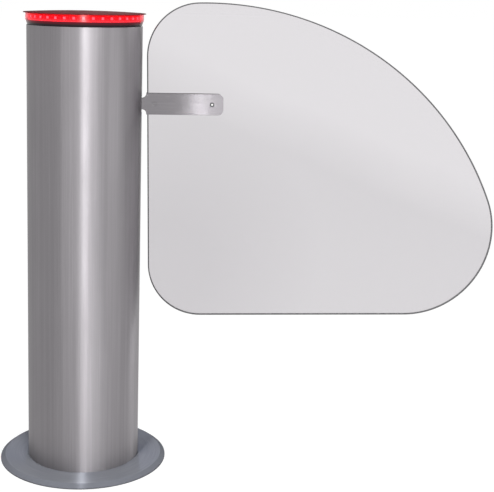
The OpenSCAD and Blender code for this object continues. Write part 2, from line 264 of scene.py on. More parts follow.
def zinc():
    """Zinc plating: a cloudy grey with a faint yellow and blue cast."""
    finish = bare_finish("galvanised", (0.5, 0.51, 0.52), 0.4, Metallic=1.0)
    blue_grey, yellow_grey = (0.38, 0.40, 0.43), (0.52, 0.51, 0.47)
    place = on_piece(finish)
    clouds = stretched(finish, place, (45, 45, 45), detail=5, roughness=0.6)
    spangle = add(finish, "TexVoronoi", {"Vector": place, "Scale": 260.0}).outputs["Distance"]
    wire(finish, Base_Color=toned(finish, clouds, 0.35, 0.65, blue_grey, yellow_grey),
         Roughness=between(finish, spangle, 0, 1, 0.32, 0.5),
         Normal=raised(finish, spangle, 0.00004, 0.4))
    return finish


round_row = math.inf  # the flats of a row that is round


def spun(rows):
    """A fastener about its own axis, from rows of (height, radius, flats). A point's distance from
    the axis is the smaller of radius and a hexagon's, flats / cos w, where w is the angle folded
    into one side of the hexagon, from -30 to 30 degrees."""
    turns = 48
    height, radius, flats = (np.array(rows, float)[:, k:k + 1] for k in range(3))
    angle = np.arange(turns) * 2 * np.pi / turns
    folded = (angle + np.pi / 6) % (np.pi / 3) - np.pi / 6
    points = swept(np.minimum(radius, flats / np.cos(folded)), height, angle)
    return points, lattice(len(rows), turns, ring=False)


def aimed(part, at, along):
    """Turns a fastener's axis from +Z to along, and moves its foot to at."""
    turn = np.array(Vector((0, 0, 1)).rotation_difference(Vector(along)).to_matrix())
    points, faces = part
    return points.reshape(-1, 3) @ turn.T + np.array(at), faces


def gathered(name, parts, finish, body):
    """Joins fasteners of one kind into one piece that rides on a body."""
    starts = np.cumsum([0] + [len(points) for points, _ in parts[:-1]])
    points = np.concatenate([points for points, _ in parts])
    faces = np.concatenate([faces + start for (_, faces), start in zip(parts, starts)])
    made = piece(name, points, faces, [finish])
    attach(made, body)
    return made


def washered_nut(thread, stud_out):
    """A washer, a hexagon nut with its corners turned off, and the stud's end, from standard
    proportions of the thread's diameter. The corners end in a cone, in four rows."""
    flats, nut_h = 0.79 * thread, 0.85 * thread
    washer_r, washer_t = 1.02 * thread, 0.15 * thread
    washer_face_r = washer_r * 0.9
    cone_low_r, cone_drop, cone_h = flats * 1.16, flats * 0.2, 0.12 * thread
    tip_h, tip_r = 0.1 * thread, 0.4 * thread
    nut_top, stud_top = washer_t + nut_h, washer_t + nut_h + stud_out
    cone = [(nut_top - cone_h * (1 - t), cone_low_r - cone_drop * t, flats)
            for t in np.linspace(0, 1, 4)]
    return spun([(0, 0, round_row), (0, washer_r, round_row), (washer_t, washer_r, round_row),
                 (washer_t, washer_face_r, round_row), (washer_t, cone_low_r, flats), *cone,
                 (nut_top, thread / 2, round_row), (stud_top - tip_h, thread / 2, round_row),
                 (stud_top, tip_r, round_row), (stud_top, 0, round_row)])


def about_axis(count, radius, height, first=0):
    """Places spaced evenly round the axis at one height, the first at that angle in degrees."""
    angle = np.radians(first) + np.arange(count) * 2 * np.pi / count
    return [(radius * math.cos(a), radius * math.sin(a), height) for a in angle]


zinc_plated = zinc()
for name in ("base_plate", "lower_pillars", "motor_plate", "upper_pillars", "bearing_plate"):
    dress(name, zinc_plated)
up = (0, 0, 1)
anchor_thread, anchor_out = 0.012, 0.011
anchor_mount = [m for m in frame["record"]["mounts"] if m["name"] == "floor_anchors"][0]["dims"]
anchor_circle_r = anchor_mount["pcd_mm"] / 2000
anchor_places = about_axis(anchor_mount["count"], anchor_circle_r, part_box("base_plate")[1].z)
anchor_nut = washered_nut(anchor_thread, anchor_out)
gathered("anchor_nuts", [aimed(anchor_nut, place, up) for place in anchor_places], zinc_plated,
         "column")

# ---- Drive: motor, gearbox, plates and bearing ---------------------------------------------
# The motor is painted satin black, and the gearbox and the bearing housing are aluminium castings
# with turned faces. Eight bolts hold the two castings to the plates, and four the pillars.


def motor_paint():
    """Satin black paint with a fine orange peel, dusty in places."""
    finish = bare_finish("motor_paint", (0.03, 0.032, 0.035), 0.45)
    clean, dusty = (0.026, 0.028, 0.031), (0.055, 0.055, 0.054)
    place = on_piece(finish)
    peel = stretched(finish, place, (700, 700, 700), detail=2)
    dust = stretched(finish, place, (30, 30, 30), detail=5)
    wire(finish, Base_Color=toned(finish, dust, 0.45, 0.75, clean, dusty),
         Roughness=between(finish, dust, 0.4, 0.7, 0.4, 0.6),
         Normal=raised(finish, peel, 0.0001, 0.4))
    return finish


def cast_aluminium():
    """Blasted castings: a fine even grain under a cloudy grey."""
    finish = bare_finish("gear_case", (0.48, 0.49, 0.5), 0.5, Metallic=1.0)
    dark_cloud, pale_cloud = (0.42, 0.43, 0.44), (0.54, 0.54, 0.53)
    place = on_piece(finish)
    grain = stretched(finish, place, (1500, 1500, 1500), detail=2)
    clouds = stretched(finish, place, (25, 25, 25), detail=4)
    wire(finish, Base_Color=toned(finish, clouds, 0.35, 0.7, dark_cloud, pale_cloud),
         Roughness=between(finish, grain, 0.3, 0.7, 0.42, 0.58),
         Normal=raised(finish, grain, 0.00012, 0.5))
    return finish


def turned_steel():
    """Bright steel off the lathe, with fine lines across its own axis."""
    finish = bare_finish("bright_steel", (0.6, 0.6, 0.6), 0.25, Metallic=1.0)
    dull_line, bright_line = (0.52, 0.52, 0.525), (0.66, 0.655, 0.65)
    lines = stretched(finish, on_piece(finish), (60, 60, 2600), detail=2)
    wire(finish, Base_Color=toned(finish, lines, 0.3, 0.7, dull_line, bright_line),
         Roughness=between(finish, lines, 0.3, 0.7, 0.2, 0.32),
         Normal=raised(finish, lines, 0.00003, 0.4))
    return finish


castings = cast_aluminium()
bright = turned_steel()
dress("motor", motor_paint())
dress("gearbox", castings)
dress("bearing_housing", castings)

drive_thread, drive_out = 0.008, 0.003
gear_bolt_r, gear_flange_t = 0.058, 0.009
bearing_bolt_r, bearing_flange_t = 0.0455, 0.008
pillar_circle_r, pillars_from = 0.098, 45
motor_plate_low, motor_plate_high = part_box("motor_plate")
bearing_plate_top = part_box("bearing_plate")[1].z
down = (0, 0, -1)
drive_nut = washered_nut(drive_thread, drive_out)
gear_bolts = about_axis(4, gear_bolt_r, motor_plate_low.z - gear_flange_t)
bearing_bolts = about_axis(4, bearing_bolt_r, bearing_plate_top + bearing_flange_t)
high_studs = about_axis(4, pillar_circle_r, bearing_plate_top, pillars_from)[1:]
low_stud = about_axis(1, pillar_circle_r, motor_plate_high.z, pillars_from)
drive_bolts = [aimed(drive_nut, place, down) for place in gear_bolts]
drive_bolts += [aimed(drive_nut, place, up) for place in bearing_bolts + high_studs + low_stud]
gathered("drive_bolts", drive_bolts, bright, "column")

# ---- Column tube ---------------------------------------------------------------------------
# A 250 mm stainless tube with a 2 mm wall, brushed from end to end. A slot cut through the wall
# over a quarter turn lets the arm swing, and its edges are deburred.


def walled(name, outer, inner, kept, finishes):
    """A wall between two grids of points, rows upwards and columns once round. Each kept cell has
    a face outside and one inside, and a strip joins the two wherever a kept cell borders none."""
    index = np.arange(outer[..., 0].size).reshape(outer.shape[:2])
    inside = index.size
    left, right = index, np.roll(index, -1, axis=1)
    fenced = np.pad(kept, ((1, 1), (0, 0)))
    edges = [(right[:-1], left[:-1], kept & ~fenced[:-2]),
             (left[1:], right[1:], kept & ~fenced[2:]),
             (left[:-1], left[1:], kept & ~np.roll(kept, 1, axis=1)),
             (right[1:], right[:-1], kept & ~np.roll(kept, -1, axis=1))]
    cells = np.stack([left[:-1], right[:-1], right[1:], left[1:]], axis=-1)[kept]
    strips = [np.stack([a[where], b[where], b[where] + inside, a[where] + inside], axis=-1)
              for a, b, where in edges]
    faces = np.concatenate([cells, cells[:, ::-1] + inside, *strips])
    points = np.concatenate([outer.reshape(-1, 3), inner.reshape(-1, 3)])
    return piece(name, points, faces, finishes)


def reckoned(finish, operation, *amounts):
    """One step of arithmetic on amounts."""
    return add(finish, "Math", dict(enumerate(amounts)), operation=operation).outputs[0]


def tube_steel():
    """Brushed stainless steel: bright and dull lines that run up the tube, fine ones on broad
    ones. The gloss is drawn out along the tube, and much narrower round it."""
    finish = bare_finish("tube_steel", (0.42, 0.42, 0.42), 0.44, Metallic=1.0, Anisotropic=0.82,
                         Specular_Tint=(0.7, 0.7, 0.7, 1))
    dull_line, bright_line = (0.218, 0.2075, 0.218), (0.283, 0.270, 0.283)
    broad_line = (0.212, 0.203, 0.213)
    place = on_piece(finish)
    fine = stretched(finish, place, (900, 900, 5), detail=3, roughness=0.6)
    broad = stretched(finish, place, (150, 150, 1.2), detail=2)
    smears = stretched(finish, place, (16, 16, 5), detail=4)
    tone = toned(finish, fine, 0.25, 0.75, dull_line, bright_line)
    tone = toned(finish, broad, 0.35, 0.65, tone, broad_line, most=0.5)
    along = add(finish, "CombineXYZ", {"Z": 1.0}).outputs[0]
    dull = reckoned(finish, "ADD", fine, between(finish, smears, 0.35, 0.7, 0, 0.3))
    wire(finish, Base_Color=tone, Tangent=along,
         Roughness=between(finish, dull, 0.35, 0.95, 0.40, 0.50),
         Normal=raised(finish, fine, 0.00005, 0.5))
    return finish


tube_low, tube_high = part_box("column_tube")
tube_r = tube_high.x
tube_wall = 0.002
tube_bore_r = tube_r - tube_wall
arm_above_sheet_foot = 0.481
arm_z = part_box("panel")[0].z + arm_above_sheet_foot
slot_half_h, slot_past_arm = 0.017, 0.0155
swing = 90
slot_margin = math.degrees(math.asin(slot_past_arm / tube_bore_r))
slot_span = (-slot_margin, swing + slot_margin)
round_tube = np.union1d(np.arange(-180, 180, 1.25), slot_span)
up_tube = np.array([tube_low.z, arm_z - slot_half_h, arm_z + slot_half_h, tube_high.z])
tube_angle, tube_height = np.meshgrid(np.radians(round_tube), up_tube)
slot_columns = (round_tube >= slot_span[0]) & (round_tube < slot_span[1])
slot_rows = np.array([[False], [True], [False]])
kept_cells = ~(slot_rows & slot_columns)
column_tube = walled("column_tube_brushed", swept(tube_r, tube_height, tube_angle),
                     swept(tube_bore_r, tube_height, tube_angle), kept_cells, [tube_steel()])
deburred = column_tube.modifiers.new("deburred", "BEVEL")
deburred.width = 0.0004
deburred.segments = 2
deburred.limit_method = "ANGLE"
deburred.harden_normals = True
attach(column_tube, "column")
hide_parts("column_tube")

# ---- Lamp seat -----------------------------------------------------------------------------
# A gloss black ring turned to a shallow cone, wider at its top, with a spigot that drops into the
# tube. A red glow of the lamp above is painted into its upper edge.


def black_trim():
    """Gloss black plastic with faint turning lines, and a painted red glow near its top."""
    finish = bare_finish("black_trim", (0.006, 0.004, 0.005), 0.3, Specular_IOR_Level=0.09,
                         Emission_Color=(0.30, 0.0, 0.012, 1))
    # The emission near the top is a painted red glow of the lamp above; the seat gives no light.
    painted_glow_h, painted_glow = 0.007, 0.5
    place = on_piece(finish)
    lines = stretched(finish, place, (8, 8, 1800), detail=2)
    height = add(finish, "SeparateXYZ", {0: place}).outputs["Z"]
    wire(finish, Roughness=between(finish, lines, 0.3, 0.7, 0.2, 0.27),
         Emission_Strength=between(finish, height, seat_top - painted_glow_h, seat_top, 0, painted_glow),
         Normal=raised(finish, lines, 0.00004, 0.3))
    return finish


seat_low, seat_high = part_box("lamp_seat")
tube_top = tube_high.z
seat_top, seat_top_r = seat_high.z, seat_high.x
seat_foot_r = tube_r - 0.002
spigot_play, spigot_wall = 0.0003, 0.004
spigot_r = tube_bore_r - spigot_play
spigot_bore_r = spigot_r - spigot_wall
seat_corners = [(0, tube_top), (spigot_bore_r, tube_top), (spigot_bore_r, seat_low.z),
                (spigot_r, seat_low.z), (spigot_r, tube_top), (seat_foot_r, tube_top),
                (seat_top_r, seat_top), (0, seat_top)]
seat_rounds = [0, 0.0004, 0.0006, 0.0006, 0, 0.0001, 0.0006, 0]
# The profile starts and ends on the axis, once each.
seat_profile = eased(seat_corners, seat_rounds)[5:-5]
lamp_seat = turned("lamp_seat_turned", seat_profile, [black_trim()], ring=False)
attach(lamp_seat, "column")
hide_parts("lamp_seat")

# ---- Lamp: drum, strip, lights and lens ----------------------------------------------------
# A white drum carries a flexible strip of red lights, 48 to the metre. A clear red ring covers
# them, glows all round, and shows each light as a paler spot. The red glow of the drum and strip is
# painted.


def glowing_core():
    """Painted red light of the strip on white plastic, strongest level with the strip and fading
    upwards as painted shade under the cap. Its foot has a paler painted glow."""
    finish = bare_finish("white_core", (0.5, 0.02, 0.03), 0.5)
    painted_pale_foot, red = (0.86, 0.20, 0.25), (0.86, 0.022, 0.055)
    # Painted shade under the cap fades the glow at the top, and a paler painted glow lies at the
    # foot.
    painted_shade_from, painted_shade_to, shaded_top_glow = lens_top - 0.0065, lens_top - 0.0005, 0.2
    foot_from, foot_to = seat_top + 0.001, seat_top + 0.0055
    place = on_piece(finish)
    height = add(finish, "SeparateXYZ", {0: place}).outputs["Z"]
    level = between(finish, height, painted_shade_from, painted_shade_to, 1, shaded_top_glow)
    glow = toned(finish, height, foot_from, foot_to, painted_pale_foot, red)
    noise = stretched(finish, place, (70, 70, 30), detail=2)
    uneven = between(finish, noise, 0.3, 0.7, 0.92, 1.08)
    strength = reckoned(finish, "MULTIPLY", level, uneven)
    wire(finish, Emission_Color=glow, Emission_Strength=strength)
    return finish


def lit_lamp():
    """A light that is on: its face is almost white, and its sides are red. The face looks away
    from the axis."""
    finish = bare_finish("lit_lamp", (1.0, 0.7, 0.72), 0.3)
    red_side, pale_face = (0.8, 0.02, 0.05), (1.0, 0.25, 0.31)
    place = on_piece(finish)
    sparkle = stretched(finish, place, (400, 400, 400), detail=1)
    away = arrowed(finish, "NORMALIZE", from_axis(finish, place))["Vector"]
    looks = add(finish, "TexCoord", {}).outputs["Normal"]
    faces_away = arrowed(finish, "DOT_PRODUCT", looks, away)["Value"]
    wire(finish, Emission_Color=toned(finish, faces_away, 0.6, 0.9, red_side, pale_face),
         Emission_Strength=between(finish, sparkle, 0.3, 0.7, 1.8, 2.4))
    return finish


def red_lens():
    """Clear plastic with a red tint, and the faint lines of its mould."""
    finish = bare_finish("red_lens", (1.0, 0.21, 0.25), 0.2, Transmission_Weight=1.0, IOR=1.12)
    deep_line, pale_line = (1.0, 0.18, 0.22), (1.0, 0.25, 0.29)
    lines = stretched(finish, on_piece(finish), (160, 160, 8), detail=2)
    wire(finish, Base_Color=toned(finish, lines, 0.3, 0.7, deep_line, pale_line),
         Normal=raised(finish, lines, 0.00004, 0.25))
    return finish


lens_low, lens_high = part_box("lens_ring")
lens_top, lens_r = lens_high.z, lens_high.x
lens_wall = 0.004
lens_bore_r = lens_r - lens_wall
core_finish = glowing_core()
dress("led_drum", core_finish)
dress("led_strip", core_finish)
dress("led_chips", lit_lamp())
lens_corners = [(lens_bore_r, lens_low.z), (lens_r, lens_low.z), (lens_r, lens_top),
                (lens_bore_r, lens_top)]
lens_profile = eased(lens_corners, [0.0003, 0.0008, 0.0008, 0.0003])
lens_ring = turned("lens_ring_moulded", lens_profile, [red_lens()])
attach(lens_ring, "column")
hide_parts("lens_ring")

# ---- Top cap -------------------------------------------------------------------------------
# A thin dark brown cover with a low dome, spun from sheet, that stands out over the lamp all
# round. Its rim is folded to a small round edge.


def dark_cap():
    """Dark brown lacquer over spun sheet, in faint rings about the axis. A red glow of the lamp is
    painted into its colour.
    """
    finish = bare_finish("dark_cap", (0.2, 0.09, 0.09), 0.8, Specular_IOR_Level=0.02)
    # Both cloud colours hold a painted red glow of the lamp over the lacquer's brown.
    dark_cloud, cloud_with_painted_glow = (0.175, 0.034, 0.038), (0.225, 0.054, 0.056)
    place = on_piece(finish)
    radius = arrowed(finish, "LENGTH", from_axis(finish, place))["Value"]
    ring_place = add(finish, "CombineXYZ", {"X": radius}).outputs[0]
    rings = stretched(finish, ring_place, (700, 0, 0), detail=2)
    clouds = stretched(finish, place, (20, 20, 20), detail=4)
    wire(finish, Base_Color=toned(finish, clouds, 0.35, 0.65, dark_cloud, cloud_with_painted_glow),
         Roughness=between(finish, rings, 0.3, 0.7, 0.7, 0.9),
         Normal=raised(finish, rings, 0.00005, 0.4))
    return finish


cap_low, cap_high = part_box("top_cap")
cap_r = cap_high.x
cap_rim = 0.0016
cap_rise = cap_high.z - cap_low.z - cap_rim
dome_r = (cap_r ** 2 + cap_rise ** 2) / (2 * cap_rise)
fold_r = cap_rim / 2
fold_angle = np.radians(np.linspace(-90, 80, 9))
fold = np.stack([cap_r - fold_r + fold_r * np.cos(fold_angle),
                 cap_low.z + fold_r + fold_r * np.sin(fold_angle)], axis=1)
dome_edge_r = cap_r - 1.6 * fold_r
dome_reach = np.linspace(dome_edge_r, 0, 24)
dome = np.stack([dome_reach, cap_high.z - dome_r + np.sqrt(dome_r ** 2 - dome_reach ** 2)], axis=1)
cap_profile = np.concatenate([[(0, cap_low.z)], fold, dome])
top_cap = turned("top_cap_spun", cap_profile, [dark_cap()], ring=False)
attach(top_cap, "column")
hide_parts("top_cap")

# ---- Shaft, hub and shield -----------------------------------------------------------------
# Two bolts clamp the hub on the shaft, and three hold the arm's plates on its tongue. A thin black
# shield turns with it inside the tube, so that nothing shows through the slot.


def shield_black():
    """Satin black paint on bent sheet, rubbed along its length by the slot's edges."""
    finish = bare_finish("shield_black", (0.02, 0.02, 0.022), 0.4)
    black, worn = (0.018, 0.018, 0.02), (0.05, 0.05, 0.052)
    rubbed = stretched(finish, on_piece(finish), (14, 14, 900), detail=3)
    wire(finish, Base_Color=toned(finish, rubbed, 0.5, 0.8, black, worn),
         Roughness=between(finish, rubbed, 0.35, 0.7, 0.34, 0.5),
         Normal=raised(finish, rubbed, 0.00004, 0.3))
    return finish


dress("drive_shaft", bright)
dress("hub", bright)
dress("slot_shield", shield_black())
clamp_out = 0.002
hub_bolt_x, hub_bolt_z, hub_face_y = -0.024, 0.0095, 0.0226
tongue_places_x = (0.0555, 0.078, 0.1005)
arm_face_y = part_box("arm_plate_back")[1].y
clamp_nut = washered_nut(drive_thread, clamp_out)
hub_bolts = [aimed(clamp_nut, (hub_bolt_x, side * hub_face_y, arm_z + off), (0, side, 0))
             for side in (-1, 1) for off in (-hub_bolt_z, hub_bolt_z)]
hub_bolts += [aimed(clamp_nut, (x, side * arm_face_y, arm_z), (0, side, 0))
              for side in (-1, 1) for x in tongue_places_x]
gathered("hub_bolts", hub_bolts, bright, "wing")

# ---- Arm plates ----------------------------------------------------------------------------
# Two straps of 4 mm stainless, one on each side of the sheet, cut to one outline: a narrow neck
# that runs into the column, filleted out to a broad strap with round corners.


def arc(centre, radius, start, end, steps):
    """Points of an arc: centre + radius (cos a, sin a), a from start to end in degrees."""
    angle = np.radians(np.linspace(start, end, steps))
    return np.array(centre) + radius * np.stack([np.cos(angle), np.sin(angle)], axis=1)


def hole(x, diameter):
    """A round hole level with the arm, traversed clockwise."""
    return arc((x, arm_z), diameter / 2, 0, -360, 33)[:-1]


def mitred(outline):
    """How each corner moves when an outline shrinks by one: the sum of the outward normals of its
    two sides, over one plus their product."""
    side = np.roll(outline, -1, axis=0) - outline
    side /= np.linalg.norm(side, axis=1, keepdims=True)
    ahead = np.stack([side[:, 1], -side[:, 0]], axis=1)
    back = np.roll(ahead, 1, axis=0)
    return (ahead + back) / (1 + (ahead * back).sum(axis=1, keepdims=True))


def flat_part(name, outlines, section, finishes):
    """A flat part cut to outlines in the XZ plane, the outer one anticlockwise and holes clockwise.
    Point (k, j) of a rim is outline point j drawn in by the k-th inset along its mitre, at the
    k-th y. The first and the last row are filled. The rim takes the last finish."""
    rim_points, rim_faces, ends, start = [], [], ([], []), 0
    for outline in outlines:
        inset, y = (np.array(section)[:, None, k] for k in range(2))
        drawn = outline[None] - inset[..., None] * mitred(outline)[None]
        points = np.stack([drawn[..., 0], y + 0 * drawn[..., 0], drawn[..., 1]], axis=-1)
        rim_points.append(points.reshape(-1, 3))
        rim_faces.append(lattice(len(section), len(outline), ring=False) + start)
        for end, row in zip(ends, (0, len(section) - 1)):
            end.append(start + row * len(outline) + np.arange(len(outline)))
        start += len(section) * len(outline)
    points, rims = np.concatenate(rim_points), np.concatenate(rim_faces)
    sides = [np.concatenate(end) for end in ends]
    loops = [[Vector((*points[i, [0, 2]], 0)) for i in end] for end in ends[0]]
    fill = np.array(tessellate_polygon(loops))
    faces = [tuple(face) for face in rims] + [tuple(side[face]) for side in sides for face in fill]
    which = np.zeros(len(faces), int)
    which[:len(rims)] = len(finishes) - 1
    return piece(name, points, faces, finishes, which)


def eased_edge(front, back, ease):
    """A plate's edge from its front face to its back one, with a quarter round of radius ease at
    each: the inset is ease (1 - sin t) and the depth ease (1 - cos t), in five points."""
    t = np.linspace(0, np.pi / 2, 5)
    inset, depth = ease * (1 - np.sin(t)), ease * (1 - np.cos(t))
    near, far = np.stack([inset, front + depth], axis=1), np.stack([inset, back - depth], axis=1)
    return np.concatenate([near, far[::-1]])


def arm_steel():
    """Brushed stainless: lines along the strap, and gloss drawn out across it."""
    finish = bare_finish("arm_steel", (0.45, 0.45, 0.45), 0.25, Metallic=1.0, Anisotropic=1.0)
    dull_line, bright_line = (0.222, 0.210, 0.224), (0.272, 0.260, 0.274)
    place = on_piece(finish)
    lines = stretched(finish, place, (9, 700, 1300), detail=3, roughness=0.6)
    smears = stretched(finish, place, (12, 40, 160), detail=3)
    across = add(finish, "CombineXYZ", {"Z": 1.0}).outputs[0]
    dull = reckoned(finish, "ADD", lines, between(finish, smears, 0.35, 0.7, 0, 0.4))
    wire(finish, Base_Color=toned(finish, lines, 0.3, 0.7, dull_line, bright_line), Tangent=across,
         Roughness=between(finish, dull, 0.35, 1.0, 0.15, 0.21),
         Normal=raised(finish, lines, 0.00004, 0.4))
    return finish


arm_low, arm_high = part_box("arm_plate_front")
neck_half = 0.012
neck_fillet = 0.0095
strap_from_tube = 0.0095
strap_start = tube_r + strap_from_tube
strap_r = 0.012
strap_half = (arm_high.z - arm_low.z) / 2
strap_end = arm_high.x
strap_ease = 0.0005
inner_from_tube, outer_from_end = 0.027, 0.025
inner_x, outer_x = tube_r + inner_from_tube, strap_end - outer_from_end
screw_hole_d, tongue_hole_d = 0.0094, 0.0085
fillet_centre = (strap_start - neck_fillet, arm_z - neck_half - neck_fillet)
corner_centre = (strap_end - strap_r, arm_z - strap_half + strap_r)
lower_strap = np.concatenate([
    [(arm_low.x, arm_z - neck_half)], arc(fillet_centre, neck_fillet, 90, 0, 13),
    [(strap_start, arm_z - strap_half)], arc(corner_centre, strap_r, -90, 0, 17)])
upper_strap = lower_strap[::-1] * (1, -1) + (0, 2 * arm_z)
screw_holes = [hole(x, screw_hole_d) for x in (inner_x, outer_x)]
strap_cuts = [np.concatenate([lower_strap, upper_strap]), *screw_holes,
              *(hole(x, tongue_hole_d) for x in tongue_places_x)]
arm_finish = arm_steel()
straps = []
for side in ("front", "back"):
    low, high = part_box("arm_plate_" + side)
    strap_section = eased_edge(low.y, high.y, strap_ease)
    strap = flat_part("arm_strap_" + side, strap_cuts, strap_section, [arm_finish])
    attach(strap, "wing")
    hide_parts("arm_plate_" + side)
    straps.append(strap)

# ---- Clear sheet and gaskets ---------------------------------------------------------------
# A 10 mm sheet of clear acrylic, grey over white, cut to four arcs that run into one another. Its
# edge is bevelled both sides and polished, and is painted dark as the shade refraction gives it.
# The sheet's tint has painted shade round its low near corner and painted light towards its top.
# Thin rubber parts it from the straps.


def rubber():
    """Matt black rubber."""
    finish = bare_finish("gasket", (0.025, 0.025, 0.025), 0.75)
    grain = stretched(finish, on_piece(finish), (1800, 1800, 1800), detail=2)
    wire(finish, Roughness=between(finish, grain, 0.3, 0.7, 0.65, 0.85),
         Normal=raised(finish, grain, 0.00008, 0.5))
    return finish


def clear_to_lamps(finish, colour):
    """Lets lamps shine through a clear finish, so that it casts the pale shadow of a sheet."""
    tree = finish.node_tree
    shader, output = tree.nodes["Principled BSDF"], tree.nodes["Material Output"]
    shadow = add(finish, "LightPath", {}).outputs["Is Shadow Ray"]
    pane = add(finish, "BsdfTransparent", {"Color": (*colour, 1)})
    mix = add(finish, "MixShader", {0: shadow, 1: shader.outputs[0], 2: pane.outputs[0]})
    tree.links.new(mix.outputs[0], output.inputs["Surface"])
    return finish


def clear_sheet():
    """Clear acrylic with a grey tint. Painted shade darkens it round its low near corner, and
    painted light makes it palest where 0.45 x + z, with a slight drift, is greatest."""
    finish = bare_finish("clear_sheet", (0.82, 0.8, 0.82), 0.0, Transmission_Weight=1.0, IOR=1.49)
    # The darker and paler tints are painted shade and painted light.
    painted_shade_tint, tint, painted_light_tint = (0.590, 0.572, 0.592), (0.658, 0.640, 0.660), (0.750, 0.730, 0.751)
    painted_shade_corner, dark_from, dark_to = (0.18, 0, 0.45), 0.1, 0.36
    pale_slope, pale_from, pale_to = 0.45, 0.96, 1.09
    shade = (0.86, 0.85, 0.86)
    place = on_piece(finish)
    split = add(finish, "SeparateXYZ", {0: place}).outputs
    drift = stretched(finish, place, (3, 3, 3), detail=2)
    height = reckoned(finish, "MULTIPLY_ADD", split["X"], pale_slope, split["Z"])
    height = reckoned(finish, "MULTIPLY_ADD", drift, 0.1, height)
    reach = arrowed(finish, "DISTANCE", place, painted_shade_corner)["Value"]
    tone = toned(finish, reach, dark_from, dark_to, painted_shade_tint, tint)
    wire(finish, Base_Color=toned(finish, height, pale_from, pale_to, tone, painted_light_tint))
    return clear_to_lamps(finish, shade)


def polished_edge():
    """The same sheet seen through its edge: painted much darker as shade, and a little rough."""
    finish = bare_finish("clear_sheet_edge", (0.06, 0.06, 0.065), 0.25, Transmission_Weight=0.5,
                         IOR=1.49)
    # The edge's dark colour is painted shade; the saw marks vary it at random.
    dark_mark, pale_mark, shade = (0.05, 0.05, 0.054), (0.08, 0.08, 0.084), (0.5, 0.5, 0.5)
    saw = stretched(finish, on_piece(finish), (300, 300, 300), detail=2)
    wire(finish, Base_Color=toned(finish, saw, 0.3, 0.7, dark_mark, pale_mark),
         Roughness=between(finish, saw, 0.3, 0.7, 0.15, 0.35))
    return clear_to_lamps(finish, shade)


panel_low, panel_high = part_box("panel")
rake = math.radians(1.0)
corner_top_r, corner_low_r, tip_r, sweep_r = 0.117, 0.121, 0.196, 0.698
sheet_from_tube, sweep_from_edge = 0.0115, 0.136
near_x = tube_r + sheet_from_tube
sweep_centre = np.array([near_x + sweep_from_edge, panel_high.z - sweep_r])
# The near edge leans by the rake, and passes near_x at the arm's height.
edge_normal = np.array([math.cos(rake), math.sin(rake)])
edge_up = np.array([-math.sin(rake), math.cos(rake)])
edge_reach = edge_normal @ (near_x, arm_z)
# The top corner's centre lies up the line one corner radius inside that edge, where its distance
# from the sweep's centre is the difference of the two radii. So each arc runs into the next.
to_foot = edge_normal * (edge_reach + corner_top_r) - sweep_centre
foot_run = to_foot @ edge_up
climb = math.sqrt(foot_run ** 2 - to_foot @ to_foot + (sweep_r - corner_top_r) ** 2) - foot_run
top_centre = sweep_centre + to_foot + edge_up * climb
tip_z = panel_low.z + tip_r
tip_run = math.sqrt((sweep_r - tip_r) ** 2 - (tip_z - sweep_centre[1]) ** 2)
tip_centre = np.array([sweep_centre[0] + tip_run, tip_z])
low_z = panel_low.z + corner_low_r
low_x = (edge_reach + corner_low_r - edge_normal[1] * low_z) / edge_normal[0]
low_centre = np.array([low_x, low_z])
sweep_from = math.degrees(math.atan2(*(top_centre - sweep_centre)[::-1]))
sweep_to = math.degrees(math.atan2(*(tip_centre - sweep_centre)[::-1]))
near_angle = 180 + math.degrees(rake)
sheet_outline = np.concatenate([
    arc(top_centre, corner_top_r, near_angle, sweep_from, 48)[:-1],
    arc(sweep_centre, sweep_r, sweep_from, sweep_to, 96)[:-1],
    arc(tip_centre, tip_r, sweep_to, -90, 96),
    arc(low_centre, corner_low_r, 270, near_angle, 48)])[::-1]
bevel_w = 0.0026
sheet_section = [(bevel_w, panel_low.y), (0, panel_low.y + bevel_w),
                 (0, panel_high.y - bevel_w), (bevel_w, panel_high.y)]
clear_panel = flat_part("panel_clear", [sheet_outline, *screw_holes], sheet_section,
                        [clear_sheet(), polished_edge()])
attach(clear_panel, "wing")
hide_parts("panel")
gasket_finish = rubber()
dress("gasket_front", gasket_finish)
dress("gasket_back", gasket_finish)

# ---- Clamp screws --------------------------------------------------------------------------
# Two screws pinch the straps on the sheet. The outer one has a black bush on each side, with a
# small domed head in it, and the inner one a head that fills its hole and lies flush. The black
# bush stands in for the shade in the gap round the domed head.


def screw_head(radius, rise):
    """A domed head: height is rise (1 - (r / radius)^2), down to a short upright side, with a
    hexagon socket in the middle."""
    socket, socket_depth, side_h, dome_end = 0.0011, 0.0014, 0.0022, 0.52
    domed = [(rise * (1 - r * r), radius * r, round_row) for r in np.linspace(1, dome_end, 7)]
    side = [(-side_h, 0, round_row), (-side_h, radius, round_row)]
    rim = rise * (1 - (socket / radius) ** 2)
    deep, wide = rim - socket_depth, 1
    return spun(side + domed + [(rim, wide, socket), (deep, wide, socket), (deep, 0, round_row)])


def bush():
    """A short sleeve with a flat end just under the strap's face. Its black stands in for shade."""
    outer, inner, foot, end = 0.0046, 0.0029, -0.003, -0.0001
    rows = [(foot, inner), (foot, outer), (end, outer), (end, inner), (foot, inner)]
    return spun([(height, radius, round_row) for height, radius in rows])


def both_sides(part, x):
    """The same fastener on each side of the arm."""
    return [aimed(part, (x, side * arm_face_y, arm_z), (0, side, 0)) for side in (-1, 1)]


flush_head = screw_head(radius=0.0045, rise=0)
domed_head = screw_head(radius=0.0027, rise=0.0010)
inner_screws = gathered("inner_screws", both_sides(flush_head, inner_x), arm_finish,
                        "wing")
gathered("outer_screws", both_sides(domed_head, outer_x), bright, "wing")
# The black bushes are a dark fill standing in for the shade round the domed heads.
gathered("clamp_bushes", both_sides(bush(), outer_x), gasket_finish, "wing")

